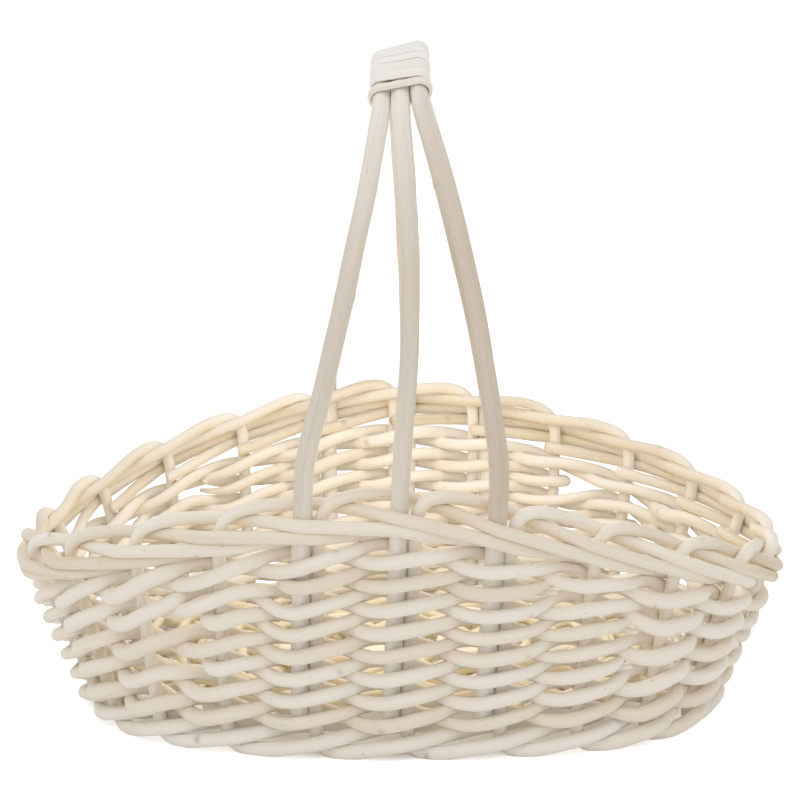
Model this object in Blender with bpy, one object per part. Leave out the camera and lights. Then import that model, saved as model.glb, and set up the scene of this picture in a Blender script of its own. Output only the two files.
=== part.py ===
"""An oval foraging basket of peeled willow rods, with a bow handle over its middle. Sizes are in metres.

The long side runs along X and the handle arches from front to back along Y. Stations count the stakes
round the oval: station 0 is the middle of the front, and they run on towards +X.
"""

import math

import bmesh
import bpy
import numpy as np
from mathutils import Vector

# Gaps between pieces, and how near two corners of one piece may lie before they are made one
clearance = 0.0003
weld_distance = 0.000001

# The wall: its middle surface runs straight from the foot's oval up to the rim's oval
foot_half_length = 0.158
foot_half_depth = 0.1135
rim_half_length = 0.199
rim_half_depth = 0.1345
rim_height_sides = 0.139
rim_height_ends = 0.0895
rim_lean = 0.0025
rim_back_rise = 0.005
rim_dip_power = 1.45
foot_square_share = 0.045
rim_square_share = 0.023
foot_skew_share = -0.008
foot_shift_share = -0.02
rim_shift_share = 0.11
foot_crowd_share = -0.31
rim_crowd_share = -0.05
station_step_share = 0.01

# Stakes, which turn down into the foot and along into the border
stake_count = 24
stake_butt_diameter = 0.0064
stake_tip_diameter = 0.0050
stake_bend = 0.010
foot_press = 0.0009
foot_rise = 0.0108
border_drop = 0.0192
border_spread_share = 0.13
rod_sides = 5

# Along the border and the foot: gaps past the stake, side of the wall, share of the drop or the rise
border_run_shares = (
    (0.07, 0.0, 0.12), (0.25, -0.15, 0.0), (0.5, -0.55, 0.02), (0.85, -1.0, 0.16), (1.12, -1.0, 0.27),
    (1.5, 0.0, 0.335), (1.88, 1.0, 0.42), (2.12, 1.0, 0.49), (2.88, 1.0, 0.70), (3.12, 1.0, 0.775),
    (3.5, 0.0, 0.88), (3.88, -1.0, 0.975), (4.1, -1.0, 1.0),
)
foot_run_shares = (
    (0.07, 0.05, 0.16), (0.22, 0.25, 0.0), (0.42, 0.5, 0.0), (0.88, 1.0, 0.42), (1.12, 1.0, 0.61),
    (1.5, 0.0, 0.82), (1.88, -1.0, 0.96), (2.12, -1.1, 0.99), (2.5, -2.0, 1.0),
)

# Weavers, worked in pairs. A row reaches so many stakes from the middle of the front and of the back,
# or all round
side_weaver_diameter = 0.0064
end_weaver_diameter = 0.0052
row_reaches = (None, None, (2, 3), None, (2, 3), None, (1, 2), None)
row_starts = (8, 16, 5, 18, 7)
first_row_height = 0.0215
row_to_border = 0.0078
row_bow = 0.0004
row_ease_share = 1.06
row_flat_share = 0.16
crossing_share = 0.5
crossing_squeeze_share = 1.0
row_fade_start_share = 0.65
row_fade_share = 1.0
fold_turns = [math.radians(a) for a in (90, 126, 162, 198, 234, 270)]
fold_ease_share = 1.06

# The base: long sticks threaded through split cross sticks, and two weavers that chase each other
stick_diameter = 0.006
cross_stick_count = 5
cross_stick_pitch = 0.022
cross_fan_share = 1.0
long_stick_count = 3
long_fan = 0.048
long_opening = 0.014
split_wall = 0.0026
split_taper = 0.007
base_weaver_diameter = 0.005
base_weaver_rounds = 10
base_weaver_sides = 4
base_margin = 0.009
stick_end_gap = 0.0006

# The handle: three bows, each pushed down beside a stake, under a wrapped grip
bow_count = 3
bow_diameter = 0.009
bow_sides = 8
bow_top_height = 0.3345
bow_foot_height = 0.0165
bow_spring_height = 0.150
bow_bulges = (0.002, 0.0042, 0.0035)
crown_share = 0.89
arch_steps = 28
grip_roll = math.radians(7)
skein_width = 0.0075
skein_thickness = 0.0009
skein_clearance = 0.0006
skein_turns = 12
grip_length = 0.103
collar_width = 0.0042
collar_thickness = 0.0024
collar_sides = 6
collar_gap = 0.0006
grip_bend_steps = 5

# Colours and roughness
willow_finishes = {
    "peeled_willow": ((0.72, 0.65, 0.55), 0.62),
    "base_willow": ((0.70, 0.62, 0.50), 0.66),
    "handle_willow": ((0.70, 0.64, 0.55), 0.55),
    "skein_willow": ((0.80, 0.77, 0.70), 0.5),
}

front, back = 0, stake_count // 2
bow_reach = bow_count // 2
bow_steps = range(-bow_reach, bow_reach + 1)
paired = {(middle + k) % stake_count for middle in (front, back) for k in bow_steps}


# Shape of the wall

def oval(angle, half_length, half_depth, square):
    """A rounded-square ellipse."""
    x = half_length * ((1 + square) * math.cos(angle) - square * math.cos(3 * angle))
    y = half_depth * ((1 + square) * math.sin(angle) + square * math.sin(3 * angle))
    return Vector((x, y, 0))


def rim_oval(angle):
    return oval(angle, rim_half_length, rim_half_depth, rim_square_share)


def foot_oval(angle):
    """The foot's oval, pulled out a little at two opposite corners."""
    swell = 1 + foot_skew_share * math.sin(2 * angle)
    return oval(angle, foot_half_length, foot_half_depth, foot_square_share) * swell


turn_angles = np.linspace(-math.pi / 2, 3 * math.pi / 2, 60 * stake_count + 1)
turn_points = np.array([rim_oval(a) for a in turn_angles])
turn_lengths = np.concatenate([[0], np.cumsum(np.linalg.norm(np.diff(turn_points, axis=0), axis=1))])


def angle_at(station, shift_share, crowd_share):
    """The oval's angle at a station: equal steps along the rim, then moved on a little at the front,
    and set closer together towards the middles of the long sides."""
    turn = 2 * math.pi * station / stake_count
    moved = station + shift_share * (1 + math.cos(turn)) / 2 - crowd_share * math.sin(2 * turn)
    turns, share = divmod(moved / stake_count, 1)
    return float(np.interp(share * turn_lengths[-1], turn_lengths, turn_angles)) + 2 * math.pi * turns


def rim_height(station):
    return rim_height_at(angle_at(station, rim_shift_share, rim_crowd_share))


def rim_height_at(angle):
    dip = (rim_height_sides - rim_height_ends) * abs(math.cos(angle)) ** rim_dip_power
    back_rise = rim_back_rise * max(0, math.sin(angle)) ** rim_dip_power
    front_lean = rim_lean * math.sin(2 * angle) * (1 - math.sin(angle)) / 2
    return rim_height_sides - dip + back_rise + front_lean


def rim_rise(station):
    """0 at the low ends of the rim, and 1 at the middle of its front."""
    return (rim_height(station) - rim_height_ends) / (rim_height_sides - rim_height_ends)


def spread(station):
    """How much taller the border's band is here than at the low ends."""
    return 1 + border_spread_share * rim_rise(station)


def wall_middle(station, height):
    foot = foot_oval(angle_at(station, foot_shift_share, foot_crowd_share))
    rim = rim_oval(angle_at(station, rim_shift_share, rim_crowd_share))
    rim.z = rim_height(station)
    return foot.lerp(rim, height / rim.z)


def wall_point(station, height, out=0.0, along=0.0):
    """A point beside the wall's middle surface: out along its normal, and along the row."""
    here = wall_middle(station, height)
    steps = (-station_step_share, station_step_share)
    behind, ahead = (wall_middle(station + step, height) for step in steps)
    tangent = (ahead - behind).normalized()
    rise = (wall_middle(station, 2 * height) - here).normalized()
    normal = tangent.cross(rise).normalized()
    return here + normal * out + tangent * along


def is_paired(station):
    return round(station) % stake_count in paired


def between_stations(station, plain, beside_bow):
    """A value that is larger where a bow stands beside the stake, and runs evenly from stake to stake."""
    low = math.floor(station)
    values = [beside_bow if is_paired(s) else plain for s in (low, low + 1)]
    return values[0] + (values[1] - values[0]) * (station - low)


stake_radius = stake_butt_diameter / 2
bow_radius = bow_diameter / 2
stake_aside = stake_radius + clearance / 2
bow_aside = bow_radius + clearance / 2


# Making rods

def material(name, colour, roughness):
    made = bpy.data.materials.new(name)
    made.use_nodes = True
    shader = made.node_tree.nodes["Principled BSDF"]
    shader.inputs["Base Color"].default_value = (*colour, 1)
    shader.inputs["Roughness"].default_value = roughness
    shader.inputs["Metallic"].default_value = 0
    made.diffuse_color = (*colour, 1)
    return made


def ring_profile(sides):
    """The round cross section that every rod with this many sides is swept from, at a radius of 1."""
    curve = bpy.data.curves.new(f"profile_{sides}", "CURVE")
    spline = curve.splines.new("POLY")
    spline.points.add(sides - 1)
    for i, point in enumerate(spline.points):
        turn = 2 * math.pi * i / sides
        point.co = (math.cos(turn), math.sin(turn), 0, 1)
    spline.use_cyclic_u = True
    profile = bpy.data.objects.new(curve.name, curve)
    profile.hide_render = True
    profile.display_type = "WIRE"
    bpy.context.scene.collection.objects.link(profile)
    return profile


def rod(name, points, radii, profile, finish, closed=False):
    """A rod swept along the points as one curve, then kept as a mesh."""
    curve = bpy.data.curves.new(name, "CURVE")
    curve.dimensions = "3D"
    curve.bevel_mode = "OBJECT"
    curve.bevel_object = profile
    curve.use_fill_caps = not closed
    spline = curve.splines.new("POLY")
    spline.points.add(len(points) - 1)
    for target, point, radius in zip(spline.points, points, radii):
        target.co = (*point, 1)
        target.radius = radius
    spline.use_cyclic_u = closed
    swept = bpy.data.objects.new(name + "_sweep", curve)
    bpy.context.scene.collection.objects.link(swept)
    bpy.context.view_layer.update()
    mesh = bpy.data.meshes.new_from_object(swept.evaluated_get(bpy.context.evaluated_depsgraph_get()))
    bpy.data.objects.remove(swept)
    bpy.data.curves.remove(curve)
    mesh.name = name
    mesh.materials.clear()
    bm = bmesh.new()
    bm.from_mesh(mesh)
    bmesh.ops.remove_doubles(bm, verts=bm.verts, dist=weld_distance)
    bmesh.ops.recalc_face_normals(bm, faces=bm.faces)
    bm.to_mesh(mesh)
    bm.free()
    return solid(name, mesh, finish)


def solid(name, mesh, finish):
    mesh.materials.append(finish)
    mesh.shade_smooth()
    made = bpy.data.objects.new(name, mesh)
    bpy.context.scene.collection.objects.link(made)
    return made


def tapered(points, butt, tip):
    """Radii that fall evenly along the rod from its butt to its tip."""
    steps = [0.0] + [(b - a).length for a, b in zip(points, points[1:])]
    lengths = np.cumsum(steps)
    return [butt + (tip - butt) * length / lengths[-1] for length in lengths]


# Stakes

def border_reach(station):
    plain = stake_radius + stake_radius + clearance
    beside_bow = bow_radius + stake_radius + clearance
    return between_stations(station, plain, beside_bow)


def own_aside(station, gaps):
    """A stake that shares its place with a bow stands to one side, and its runs start from there."""
    return stake_aside * max(0, 1 - 2 * gaps) if is_paired(station) else 0.0


def stake_points(station):
    foot, border = [], []
    ground = stake_radius - foot_press
    for gaps, side, share in foot_run_shares:
        s = station + gaps
        height = ground + share * foot_rise
        point = wall_point(s, height, side * border_reach(s), own_aside(station, gaps))
        rise = wall_middle(s, 2 * height) - wall_middle(s, height)
        foot.append(point + rise * (height - point.z) / rise.z)
    for gaps, side, share in border_run_shares:
        s = station + gaps
        top = rim_height(s) - stake_radius
        height = top - share * border_drop * spread(s)
        border.append(wall_point(s, height, side * border_reach(s), own_aside(station, gaps)))
    low = wall_point(station, ground + stake_bend, 0, own_aside(station, 0))
    high = wall_point(station, rim_height(station) - stake_radius - stake_bend, 0, own_aside(station, 0))
    return foot[::-1] + [low, high] + border


def make_stakes(profile, finish, ground):
    for station in range(stake_count):
        points = stake_points(station)
        radii = tapered(points, stake_butt_diameter / 2, stake_tip_diameter / 2)
        stake = rod(f"stake_{station + 1:02d}", points, radii, profile, finish)
        flat = stake.modifiers.new("flat_underside", "BOOLEAN")
        flat.operation = "DIFFERENCE"
        flat.object = ground


# Rows of the wall

def weight(reaches, station):
    """How much of a row's height is taken up here: 1 along the row, falling to 0 past its ends."""
    if reaches is None:
        return 1.0
    from_front = abs((station + back) % stake_count - back)
    if from_front < back / 2:
        beyond = from_front - reaches[0]
    else:
        beyond = back - from_front - reaches[1]
    share = min(1, max(0, beyond - row_fade_start_share) / row_fade_share)
    return 1 - share * share * (3 - 2 * share)


def row_pitch(station):
    top = rim_height(station) - stake_radius - border_drop * spread(station) - row_to_border
    return (top - first_row_height) / sum(weight(reaches, station) for reaches in row_reaches[:-1])


def row_height(row, station):
    below = sum(weight(reaches, station) for reaches in row_reaches[:row])
    return first_row_height + row_pitch(station) * below


def weaver_radius(station):
    """Thicker weavers lie where the rows are taller, towards the middle of the long sides."""
    return (end_weaver_diameter + (side_weaver_diameter - end_weaver_diameter) * rim_rise(station)) / 2


def crossing_radius(station):
    """Weavers are squeezed where four of them pass each other in the height of two rows."""
    return min(weaver_radius(station), crossing_squeeze_share * row_pitch(station) / 4 - clearance / 2)


def row_reach(station, side):
    """How far out of the wall's middle a weaver passes a stake, or a stake and its bow."""
    inner = bow_radius if is_paired(station) else stake_radius * row_ease_share
    return side * (inner + clearance + weaver_radius(station)) + max(0, side) * row_bow


def passing(row, station, offset, side):
    """A weaver's place and radius this far from a stake, as it climbs past the front or drops behind."""
    s = station + offset
    height = row_height(row, s) + side * offset * row_pitch(s) / 2
    return wall_point(s, height, row_reach(station, side)), weaver_radius(s)


def crossing(row, station, side):
    """A weaver's place and radius halfway to the next stake, where it goes to the other side of the wall."""
    s = station + crossing_share
    return wall_point(s, row_height(row, s) + side * row_pitch(s) / 4), crossing_radius(s)


def row_tail(row, station, side):
    """The end of a weaver that has gone all round, just short of the fold where it started."""
    centre, around = fold_circle(station)
    away = around - centre + 2 * weaver_radius(station) + clearance
    height = row_height(row, station)
    share = away / (wall_middle(station, height) - wall_middle(station - crossing_share, height)).length
    s = station - share * crossing_share
    out = row_reach(station, -side) * (1 - share)
    return wall_point(s, row_height(row, s) + side * share * row_pitch(s) / 4, out), crossing_radius(s)


def row_points(row, first, last, all_round):
    """A rod folded round its first stake, whose two halves cross between every two stakes."""
    halves = []
    for half in (1, -1):
        run = []
        for station in range(first, last + 1):
            side = half if (station - first) % 2 == 0 else -half
            offsets = (-row_flat_share, row_flat_share) if is_paired(station) else (0,)
            kept = [offset for offset in offsets if offset > 0 or station > first]
            run += [passing(row, station, offset, side) for offset in kept]
            run.append(crossing(row, station, side))
        if all_round:
            run.append(row_tail(row, last + 1, side))
        halves.append(run)
    centre, around = fold_circle(first)
    fold = []
    for turn in fold_turns:
        along, out = centre + around * math.cos(turn), around * math.sin(turn)
        fold.append((wall_point(first, row_height(row, first), out, along), weaver_radius(first)))
    return halves[0][::-1] + fold + halves[1]


def fold_circle(station):
    """Where along the wall the fold's circle has its centre, and its radius."""
    centre, inner = (-bow_aside, bow_radius) if is_paired(station) else (0.0, stake_radius)
    return centre, (inner + clearance + weaver_radius(station)) * fold_ease_share


def make_rows(profile, finish):
    starts = iter(row_starts)
    for row, reaches in enumerate(row_reaches):
        if reaches is None:
            first = next(starts)
            spans = [(f"row_{row + 1}", first, first + stake_count - 1)]
        else:
            spans = [
                (f"row_{row + 1}_front", front - reaches[0], front + reaches[0]),
                (f"row_{row + 1}_back", back - reaches[1], back + reaches[1]),
            ]
        for name, first, last in spans:
            points, radii = zip(*row_points(row, first, last, reaches is None))
            rod(name, points, radii, profile, finish)


# The base

tail_height = stake_radius - foot_press + foot_rise
stick_radius = stick_diameter / 2
base_weaver_radius = base_weaver_diameter / 2
base_height = tail_height + stake_radius + clearance + stick_radius
over_stick = stick_radius + clearance + base_weaver_radius
slot_half_width = long_stick_count * (stick_diameter + clearance) / 2
slot_half_height = stick_radius + clearance
stick_end = bow_radius + clearance + side_weaver_diameter + stick_end_gap
base_edge = stick_end + base_margin


def base_oval(angle, inside):
    """The oval that lies this far inside the wall's middle surface at the height of the base."""
    angles = (angle, angle + station_step_share)
    middle, ahead = (foot_oval(a).lerp(rim_oval(a), base_height / rim_height_at(a)) for a in angles)
    return middle + (ahead - middle).normalized().cross(Vector((0, 0, -1))) * inside


def spokes():
    """Round the base: where the sticks start and end, and where the weaving on them starts and ends."""
    found = []
    first_y = slot_half_width + split_taper + base_weaver_radius
    last_x = cross_stick_pitch * (cross_stick_count - 1) / 2
    for i in range(cross_stick_count):
        x = cross_stick_pitch * i - last_x
        angle = -math.acos(x * (1 + cross_fan_share) / (foot_half_length - base_edge))
        start = Vector((x, -slot_half_width, 0))
        found.append((start, Vector((x, -first_y, 0)), angle))
    for i in range(long_stick_count):
        offset = i - (long_stick_count - 1) / 2
        angle = math.asin(offset * long_fan / (foot_half_depth - base_edge))
        start = Vector((last_x + stick_diameter, offset * (stick_diameter + clearance), 0))
        opened = Vector((last_x + stick_radius + long_opening, offset * long_opening, 0))
        found.append((start, opened, angle))
    half = [(a, b, base_oval(angle, base_edge), base_oval(angle, stick_end)) for a, b, angle in found]
    return half + [tuple(-point for point in points) for points in half]


def at_base(point, lift=0.0):
    return Vector((point.x, point.y, base_height + lift))


def make_base(stick_profile, weaver_profile, finish):
    found = spokes()
    half = len(found) // 2
    last_x = found[cross_stick_count - 1][0].x
    slot = slot_cutter(last_x + stick_diameter)
    for i in range(cross_stick_count):
        near, far = found[i], found[half + cross_stick_count - 1 - i]
        points = [near[3], near[1], near[0], far[0], far[1], far[3]]
        made = split_stick(f"cross_stick_{i + 1}", [at_base(p) for p in points], finish)
        cut = made.modifiers.new("split", "BOOLEAN")
        cut.operation = "DIFFERENCE"
        cut.object = slot
    for i in range(long_stick_count):
        right = found[cross_stick_count + i]
        left = found[half + cross_stick_count + long_stick_count - 1 - i]
        points = [at_base(p) for p in (left[3], left[1], left[0], right[0], right[1], right[3])]
        rod(f"long_stick_{i + 1}", points, [stick_radius] * len(points), stick_profile, finish)
    for i in (0, 1):
        points = base_weaver_points(found, i)
        rod(f"base_weaver_{i + 1}", points, [base_weaver_radius] * len(points), weaver_profile, finish)


def base_weaver_points(found, first):
    """A spiral over and under the sticks, two points to a stick. The other weaver is half a turn on."""
    points = []
    count = len(found)
    for step in range(count * (base_weaver_rounds - 2) // 2 + count):
        ring = first + 2 * step / count
        if ring > base_weaver_rounds:
            break
        side = 1 if (step + first) % 2 else -1
        _, inner, outer, _ = found[step % count]
        share = ring / base_weaver_rounds
        here = inner.lerp(outer, share)
        ahead = found[(step + 1) % count][1].lerp(found[(step + 1) % count][2], share)
        behind = found[(step - 1) % count][1].lerp(found[(step - 1) % count][2], share)
        along = (ahead - behind).normalized()
        points += [at_base(here + along * end * stick_radius, side * over_stick) for end in (-1, 1)]
    return points


def split_stick(name, points, finish):
    """A stick that swells in height where it is split, as rings of corners joined in a bmesh."""
    swell = (slot_half_height + split_wall) / stick_radius
    full, plain = slot_half_width, slot_half_width + split_taper
    start, end = points[2], points[3]
    middle = (start + end) / 2
    across = (start - middle).normalized()
    places = [(points[0], 1), (points[1], 1), (middle + across * plain, 1), (middle + across * full, swell)]
    places += [(middle - across * full, swell), (middle - across * plain, 1), (points[4], 1), (points[5], 1)]
    rings = []
    for i, (place, tall) in enumerate(places):
        before, after = places[max(i - 1, 0)][0], places[min(i + 1, len(places) - 1)][0]
        direction = (after - before).normalized()
        side = direction.cross(Vector((0, 0, 1)))
        ring = []
        for corner in range(bow_sides):
            turn = math.pi * (2 * corner + 1) / bow_sides
            out = side * math.cos(turn) + Vector((0, 0, tall * math.sin(turn)))
            ring.append(place + stick_radius * out)
        rings.append(ring)
    return joined_rings(name, rings, finish)


def joined_rings(name, rings, finish, closed=False):
    """One solid through rings of corners, which meets itself or has a flat cap at each end."""
    bm = bmesh.new()
    made = [[bm.verts.new(point) for point in ring] for ring in rings]
    for here, there in zip(made, made[1:] + made[:1] if closed else made[1:]):
        for i in range(len(here)):
            bm.faces.new((here[i - 1], here[i], there[i], there[i - 1]))
    if not closed:
        bm.faces.new(made[0])
        bm.faces.new(made[-1][::-1])
    bmesh.ops.recalc_face_normals(bm, faces=bm.faces)
    mesh = bpy.data.meshes.new(name)
    bm.to_mesh(mesh)
    bm.free()
    return solid(name, mesh, finish)


def cutter(name, rings):
    made = joined_rings(name, rings, None)
    made.hide_render = True
    made.display_type = "WIRE"
    return made


def slot_cutter(half_length):
    """The split through all the cross sticks: as wide as the long sticks, and pointed at both ends."""
    outline = [
        (-slot_half_width - split_taper, 0), (-slot_half_width, -slot_half_height),
        (slot_half_width, -slot_half_height), (slot_half_width + split_taper, 0),
        (slot_half_width, slot_half_height), (-slot_half_width, slot_half_height),
    ]
    ends = (-half_length, half_length)
    return cutter("slot", [[Vector((x, y, base_height + z)) for y, z in outline] for x in ends])


# The handle

def bow_points(k):
    """A bow from its foot beside a front stake, over the arch, to its foot beside the stake at the back."""
    ends = [(front + k, -bow_aside), (back - k, -bow_aside)]
    feet = []
    for station, along in ends:
        heights = (bow_foot_height, bow_spring_height / 2, rim_height(station))
        feet.append([wall_point(station, height, 0, along) for height in heights])
    springs = [wall_point(station, bow_spring_height, 0, along) for station, along in ends]
    spring_depth = wall_point(front, bow_spring_height).y
    arch = []
    for i in range(arch_steps + 1):
        angle = math.pi * i / arch_steps
        share = min(1, math.sin(angle) / crown_share)
        lean = Vector((k * math.cos(grip_roll), 0, k * math.sin(grip_roll))) * (bow_diameter + clearance)
        wide = springs[0].lerp(springs[1], (1 - math.cos(angle)) / 2)
        rise = (bow_top_height - bow_spring_height) * math.sin(angle)
        bulge = bow_bulges[k + bow_reach] * 4 * share * (1 - share)
        x = wide.x * (1 - share) + lean.x * share + bulge
        y = wide.y * (1 - share) + spring_depth * math.cos(angle) * share
        arch.append(Vector((x, y, bow_spring_height + rise + lean.z * share)))
    return feet[0] + arch + feet[1][::-1]


def make_handle(profile, handle_finish, skein_finish):
    bows = [bow_points(k) for k in bow_steps]
    for i, points in enumerate(bows):
        rod(f"handle_bow_{i + 1}", points, [bow_radius] * len(points), profile, handle_finish)
    make_grip_wrap(bows, skein_finish)
    away = (grip_length + skein_width + collar_width) / 2 + collar_gap
    make_collar("collar_front", bows, -away, skein_finish)
    make_collar("collar_back", bows, away, skein_finish)


def make_grip_wrap(bows, finish):
    """A flat skein wound round the three bows as one strip."""
    loop = grip_loop()
    reach = bow_radius + skein_clearance + skein_thickness / 2
    path, rings = [], []
    for step in range(skein_turns * len(loop) + 1):
        y = grip_length * (step / (skein_turns * len(loop)) - 1 / 2)
        place, out, forward = beside_bows(bows, y, loop[step % len(loop)], reach)
        path.append(place)
        rings.append([
            place + forward * a * skein_width / 2 + out * b * skein_thickness / 2
            for a, b in ((-1, -1), (1, -1), (1, 1), (-1, 1))
        ])
    joined_rings("grip_wrap", rings, finish)
    print(f"grip_wrap: least gap to itself {least_gap(path, len(loop)) * 1000:.2f} mm")


def make_collar(name, bows, y, finish):
    """A split rod bound once round the three bows."""
    reach = bow_radius + skein_clearance + collar_thickness / 2
    rings = []
    for corner in grip_loop():
        place, out, forward = beside_bows(bows, y, corner, reach)
        turns = [2 * math.pi * i / collar_sides for i in range(collar_sides)]
        rings.append([
            place + out * math.cos(a) * collar_thickness / 2 + forward * math.sin(a) * collar_width / 2
            for a in turns
        ])
    joined_rings(name, rings, finish, True)


def grip_loop():
    """Once round the bows: which outer bow a corner bends round, and its direction out of that bow."""
    loop = []
    for side in (1, -1):
        for i in range(grip_bend_steps + 1):
            turn = math.pi * i / grip_bend_steps - side * math.pi / 2
            loop.append((side, (math.cos(turn), math.sin(turn))))
    return loop


def beside_bows(bows, y, corner, reach):
    """The place this far out of the bows at this depth, with the directions out of them and along them."""
    middle, left, right = bows[bow_reach], bows[0], bows[-1]
    i = next(i for i in range(len(middle) - 1) if middle[i].y <= y < middle[i + 1].y)
    share = (y - middle[i].y) / (middle[i + 1].y - middle[i].y)
    forward = (middle[i + 1] - middle[i - 1]).lerp(middle[i + 2] - middle[i], share).normalized()
    left, right = left[i].lerp(left[i + 1], share), right[i].lerp(right[i + 1], share)
    across = right - left
    across = (across - forward * across.dot(forward)).normalized()
    side, (beside, over) = corner
    out = across * beside + across.cross(forward) * over
    return (left + right) / 2 + across * side * (right - left).length / 2 + out * reach, out, forward


def least_gap(path, per_turn):
    """The smallest distance between two turns of the skein, less its width."""
    path = np.array(path)
    apart = np.linalg.norm(path[per_turn:] - path[:-per_turn], axis=1)
    return apart.min() - skein_width


# The whole basket

for old in list(bpy.data.objects):
    bpy.data.objects.remove(old)

wall_willow, base_willow, handle_willow, skein_willow = (
    material(name, *finish) for name, finish in willow_finishes.items()
)

rod_profile = ring_profile(rod_sides)
bow_profile = ring_profile(bow_sides)
base_weaver_profile = ring_profile(base_weaver_sides)

reach = rim_half_length + rim_half_depth
corners = [(-reach, -reach), (reach, -reach), (reach, reach), (-reach, reach)]
ground = cutter("ground", [[Vector((x, y, z)) for x, y in corners] for z in (-reach, 0)])

make_stakes(rod_profile, wall_willow, ground)
make_rows(rod_profile, wall_willow)
make_base(rod_profile, base_weaver_profile, base_willow)
make_handle(bow_profile, handle_willow, skein_willow)
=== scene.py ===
import math

import bpy
import numpy as np
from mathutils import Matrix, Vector


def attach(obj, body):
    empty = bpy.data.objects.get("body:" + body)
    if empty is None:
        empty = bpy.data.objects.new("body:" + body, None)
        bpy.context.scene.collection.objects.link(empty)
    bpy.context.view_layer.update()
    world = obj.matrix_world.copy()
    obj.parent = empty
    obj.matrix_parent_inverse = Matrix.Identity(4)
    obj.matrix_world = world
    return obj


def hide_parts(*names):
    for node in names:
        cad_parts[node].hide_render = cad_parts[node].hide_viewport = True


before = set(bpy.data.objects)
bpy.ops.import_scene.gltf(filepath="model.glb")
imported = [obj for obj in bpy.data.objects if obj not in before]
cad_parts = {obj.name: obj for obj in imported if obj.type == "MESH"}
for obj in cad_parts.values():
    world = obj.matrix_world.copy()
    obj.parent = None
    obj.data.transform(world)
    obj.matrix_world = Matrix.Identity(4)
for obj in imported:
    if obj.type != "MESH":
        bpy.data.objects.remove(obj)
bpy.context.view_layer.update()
print("frame loaded:", len(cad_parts), "nodes")

# An oval foraging basket of peeled white willow. Lengths are in metres, +X to the right and +Y to the back.
# A station counts stakes round the oval, from 0 at the middle of the front towards +X.

wall = {
    "stakes": 24, "gap": 0.0003, "turnSamples": 1441, "tangentStep": 0.01,
    "footHalf": (0.158, 0.1135), "footSquare": 0.045, "footSkew": -0.008,
    "footShift": -0.02, "footCrowd": -0.31,
    "rimHalf": (0.199, 0.1345), "rimSquare": 0.023, "rimShift": 0.11, "rimCrowd": -0.05,
    "rimSides": 0.139, "rimEnds": 0.0895, "rimLean": 0.0025, "rimBackRise": 0.005, "dipPower": 1.45,
}
front, back = 0, wall["stakes"] // 2
up = np.array([0.0, 0.0, 1.0])

# The three bows of the handle stand beside the middle stakes of the front and of the back
bowPlaces = (-1, 0, 1)
pairedStations = np.zeros(wall["stakes"], bool)
pairedStations[[(middle + k) % wall["stakes"] for middle in (front, back) for k in bowPlaces]] = True


def unit(vectors):
    return vectors / np.linalg.norm(vectors, axis=-1, keepdims=True)


# How far each point of a line is from its first one, along the line
def lengthsAlong(points):
    return np.concatenate([[0], np.cumsum(np.linalg.norm(np.diff(points, axis=0), axis=1))])


# A rounded ellipse: x = a((1+q)cos t - q cos 3t), y = b((1+q)sin t + q sin 3t)
def oval(angle, half, square):
    x = half[0] * ((1 + square) * np.cos(angle) - square * np.cos(3 * angle))
    y = half[1] * ((1 + square) * np.sin(angle) + square * np.sin(3 * angle))
    return np.stack([x, y, 0 * x], -1)


# The foot's oval is drawn out along one diagonal, by 1 + skew sin 2t
def footOval(angle):
    skew = 1 + wall["footSkew"] * np.sin(2 * angle)
    return oval(angle, wall["footHalf"], wall["footSquare"]) * skew[..., None]


def rimOval(angle):
    return oval(angle, wall["rimHalf"], wall["rimSquare"])


turnAngles = np.linspace(-math.pi / 2, 3 * math.pi / 2, wall["turnSamples"])
turnLengths = lengthsAlong(rimOval(turnAngles))


# A station is a share of the rim's length, moved on a little at the front by shift (1 + cos t) / 2 and spread
# or drawn in at the middles of the long sides by crowd sin 2t, where t is the station as a turn
def angleAt(station, which="rim"):
    station = np.asarray(station, float)
    turn = 2 * math.pi * station / wall["stakes"]
    shift, crowd = wall[which + "Shift"], wall[which + "Crowd"]
    moved = station + shift * (1 + np.cos(turn)) / 2 - crowd * np.sin(2 * turn)
    turns, share = np.divmod(moved / wall["stakes"], 1)
    return np.interp(share * turnLengths[-1], turnLengths, turnAngles) + 2 * math.pi * turns


# The rim dips towards the ends with a power of the angle's cosine, stands a little higher at the back, and
# leans down to the right along the front
def rimHeightAt(angle):
    dip = (wall["rimSides"] - wall["rimEnds"]) * np.abs(np.cos(angle)) ** wall["dipPower"]
    backRise = wall["rimBackRise"] * np.maximum(0, np.sin(angle)) ** wall["dipPower"]
    return wall["rimSides"] - dip + backRise + wall["rimLean"] * np.sin(2 * angle) * (1 - np.sin(angle)) / 2


def rimHeight(station):
    return rimHeightAt(angleAt(station))


# 0 at the low ends of the rim, and about 1 at the middle of its front
def rimRise(station):
    return (rimHeight(station) - wall["rimEnds"]) / (wall["rimSides"] - wall["rimEnds"])


# The wall's middle surface is ruled: a straight line from the foot's oval to the rim's oval at each station
def wallMiddle(station, height):
    foot, rim = footOval(angleAt(station, "foot")), rimOval(angleAt(station))
    top = rimHeight(station)
    rim[..., 2] = top
    return foot + (rim - foot) * (height / top)[..., None]


# A point beside the middle surface: out along its normal, and along its row
def wallPoint(station, height, out=0.0, along=0.0):
    given = (np.asarray(value, float) for value in (station, height, out, along))
    station, height, out, along = np.broadcast_arrays(*given)
    here, step = wallMiddle(station, height), wall["tangentStep"]
    tangent = unit(wallMiddle(station + step, height) - wallMiddle(station - step, height))
    rise = unit(wallMiddle(station, 2 * height) - here)
    return here + unit(np.cross(tangent, rise)) * out[..., None] + tangent * along[..., None]


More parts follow.
